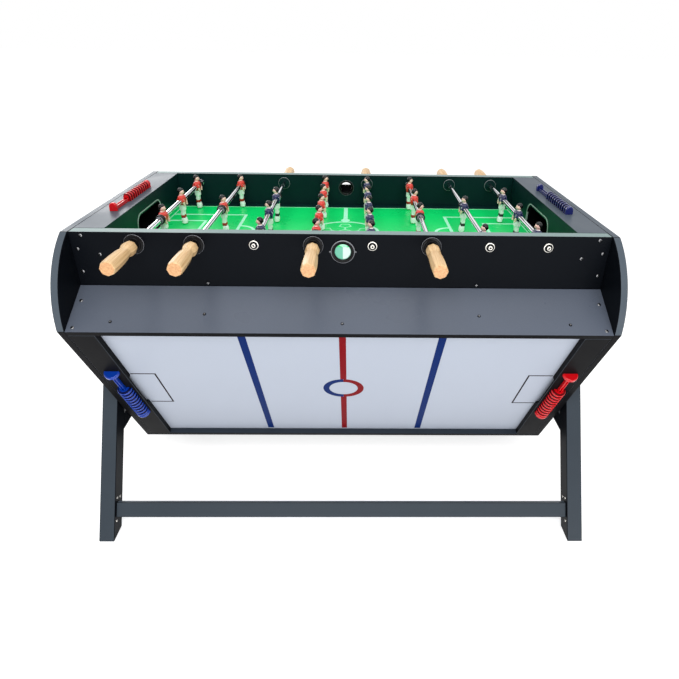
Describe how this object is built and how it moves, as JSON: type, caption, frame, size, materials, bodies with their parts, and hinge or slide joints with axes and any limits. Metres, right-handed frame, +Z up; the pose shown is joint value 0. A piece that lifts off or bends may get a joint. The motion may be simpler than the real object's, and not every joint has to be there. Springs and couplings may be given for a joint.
{
  "type": "multi game table",
  "caption": "Turning three-sided games cabinet on two A-frames, with table football, hockey and pool faces, sliding rods and bead scorers.",
  "frame": {"origin": "on the floor under the middle of the axle, which is the middle of the object's footprint", "axes": "+X along the table and its axle, towards the player's right; +Y away from the player in front; +Z up"},
  "size_m": [1.4036, 0.904, 0.8579],
  "materials": {
    "black_board": "fibreboard under satin black laminate",
    "grey_board": "fibreboard under satin grey laminate",
    "leg_board": "fibreboard under satin slate-grey laminate",
    "pitch_green": "bright green printed pitch with pale lines",
    "rink_white": "bluish white printed rink with red and blue lines",
    "pool_cloth": "green baize",
    "steel": "polished steel tube and washers",
    "dark_steel": "black painted steel plate",
    "black_plastic": "black moulded plastic",
    "red_players": "moulded players painted red",
    "blue_players": "moulded players painted blue",
    "red_beads": "moulded red beads",
    "blue_beads": "moulded blue beads",
    "handle_wood": "turned pale wood, clear lacquer"
  },
  "bodies": {
    "stand": {"leg_front_left": "leg_board", "leg_rear_left": "leg_board", "leg_front_right": "leg_board", "leg_rear_right": "leg_board", "crossbar_left": "leg_board", "crossbar_right": "leg_board", "pivot_bracket_left": "dark_steel", "pivot_bracket_right": "dark_steel", "stretcher_front": "leg_board", "stretcher_rear": "leg_board"},
    "cabinet": {"end_panel_left": "grey_board", "end_panel_right": "grey_board", "football_apron_front": "black_board", "football_apron_rear": "black_board", "football_field": "pitch_green", "football_end_left": "grey_board", "football_end_right": "grey_board", "football_scorer_left": "red_beads", "football_scorer_right": "blue_beads", "hockey_apron_upper": "grey_board", "hockey_apron_lower": "grey_board", "hockey_field": "rink_white", "hockey_end_left": "black_board", "hockey_end_right": "black_board", "hockey_scorer_left": "blue_beads", "hockey_scorer_right": "red_beads", "pool_apron_upper": "black_board", "pool_apron_lower": "black_board", "pool_bed": "pool_cloth", "pool_rail_frame": "pool_cloth"},
    "rod_1_core": {"rod_core_1": "steel"},
    "rod_1_slider": {"rod_men_1": "red_players", "handle_1": "handle_wood"},
    "rod_2_core": {"rod_core_2": "steel"},
    "rod_2_slider": {"rod_men_2": "red_players", "handle_2": "handle_wood"},
    "rod_3_core": {"rod_core_3": "steel"},
    "rod_3_slider": {"rod_men_3": "blue_players", "handle_3": "handle_wood"},
    "rod_4_core": {"rod_core_4": "steel"},
    "rod_4_slider": {"rod_men_4": "red_players", "handle_4": "handle_wood"},
    "rod_5_core": {"rod_core_5": "steel"},
    "rod_5_slider": {"rod_men_5": "blue_players", "handle_5": "handle_wood"},
    "rod_6_core": {"rod_core_6": "steel"},
    "rod_6_slider": {"rod_men_6": "red_players", "handle_6": "handle_wood"},
    "rod_7_core": {"rod_core_7": "steel"},
    "rod_7_slider": {"rod_men_7": "blue_players", "handle_7": "handle_wood"},
    "rod_8_core": {"rod_core_8": "steel"},
    "rod_8_slider": {"rod_men_8": "blue_players", "handle_8": "handle_wood"},
    "football_beads_left": {"football_scorer_left_beads": "red_beads"},
    "football_beads_right": {"football_scorer_right_beads": "blue_beads"},
    "hockey_beads_left": {"hockey_scorer_left_beads": "blue_beads"},
    "hockey_beads_right": {"hockey_scorer_right_beads": "red_beads"},
    "lock_left": {"lock_pin_left": "black_plastic"},
    "lock_right": {"lock_pin_right": "black_plastic"}
  },
  "joints": [
    {"name": "cabinet_turn", "type": "hinge", "parent": "stand", "child": "cabinet", "pos_m": [0, 0, 0.537], "axis": [1, 0, 0], "range_deg": [-120, 120]},
    {"name": "rod_1_spin", "type": "hinge", "parent": "cabinet", "child": "rod_1_core", "pos_m": [-0.455, 0, 0.81209], "axis": [0, 1, 0], "continuous": true},
    {"name": "rod_1_slide", "type": "slide", "parent": "rod_1_core", "child": "rod_1_slider", "axis": [0, -1, 0], "range_m": [-0.0095, 0.1402]},
    {"name": "rod_2_spin", "type": "hinge", "parent": "cabinet", "child": "rod_2_core", "pos_m": [-0.325, 0, 0.81209], "axis": [0, 1, 0], "continuous": true},
    {"name": "rod_2_slide", "type": "slide", "parent": "rod_2_core", "child": "rod_2_slider", "axis": [0, -1, 0], "range_m": [-0.0031, 0.2356]},
    {"name": "rod_3_spin", "type": "hinge", "parent": "cabinet", "child": "rod_3_core", "pos_m": [-0.195, 0, 0.81209], "axis": [0, 1, 0], "continuous": true},
    {"name": "rod_3_slide", "type": "slide", "parent": "rod_3_core", "child": "rod_3_slider", "axis": [0, 1, 0], "range_m": [-0.0095, 0.1587]},
    {"name": "rod_4_spin", "type": "hinge", "parent": "cabinet", "child": "rod_4_core", "pos_m": [-0.065, 0, 0.81209], "axis": [0, 1, 0], "continuous": true},
    {"name": "rod_4_slide", "type": "slide", "parent": "rod_4_core", "child": "rod_4_slider", "axis": [0, -1, 0], "range_m": [-0.0008, 0.0358]},
    {"name": "rod_5_spin", "type": "hinge", "parent": "cabinet", "child": "rod_5_core", "pos_m": [0.065, 0, 0.81209], "axis": [0, 1, 0], "continuous": true},
    {"name": "rod_5_slide", "type": "slide", "parent": "rod_5_core", "child": "rod_5_slider", "axis": [0, 1, 0], "range_m": [-0.0095, 0.0128]},
    {"name": "rod_6_spin", "type": "hinge", "parent": "cabinet", "child": "rod_6_core", "pos_m": [0.195, 0, 0.81209], "axis": [0, 1, 0], "continuous": true},
    {"name": "rod_6_slide", "type": "slide", "parent": "rod_6_core", "child": "rod_6_slider", "axis": [0, -1, 0], "range_m": [-0.0095, 0.1833]},
    {"name": "rod_7_spin", "type": "hinge", "parent": "cabinet", "child": "rod_7_core", "pos_m": [0.325, 0, 0.81209], "axis": [0, 1, 0], "continuous": true},
    {"name": "rod_7_slide", "type": "slide", "parent": "rod_7_core", "child": "rod_7_slider", "axis": [0, 1, 0], "range_m": [-0.0043, 0.2344]},
    {"name": "rod_8_spin", "type": "hinge", "parent": "cabinet", "child": "rod_8_core", "pos_m": [0.455, 0, 0.81209], "axis": [0, 1, 0], "continuous": true},
    {"name": "rod_8_slide", "type": "slide", "parent": "rod_8_core", "child": "rod_8_slider", "axis": [0, 1, 0], "range_m": [-0.0095, 0.1386]},
    {"name": "football_beads_left_slide", "type": "slide", "parent": "cabinet", "child": "football_beads_left", "axis": [0, -1, 0], "range_m": [0, 0.0768]},
    {"name": "football_beads_right_slide", "type": "slide", "parent": "cabinet", "child": "football_beads_right", "axis": [0, 1, 0], "range_m": [0, 0.0768]},
    {"name": "hockey_beads_left_slide", "type": "slide", "parent": "cabinet", "child": "hockey_beads_left", "axis": [0, -0.5, 0.866], "range_m": [0, 0.0768]},
    {"name": "hockey_beads_right_slide", "type": "slide", "parent": "cabinet", "child": "hockey_beads_right", "axis": [0, -0.5, 0.866], "range_m": [0, 0.0768]},
    {"name": "lock_left_slide", "type": "slide", "parent": "stand", "child": "lock_left", "axis": [1, 0, 0], "range_m": [0, 0.012]},
    {"name": "lock_right_slide", "type": "slide", "parent": "stand", "child": "lock_right", "axis": [-1, 0, 0], "range_m": [0, 0.012]}
  ]
}
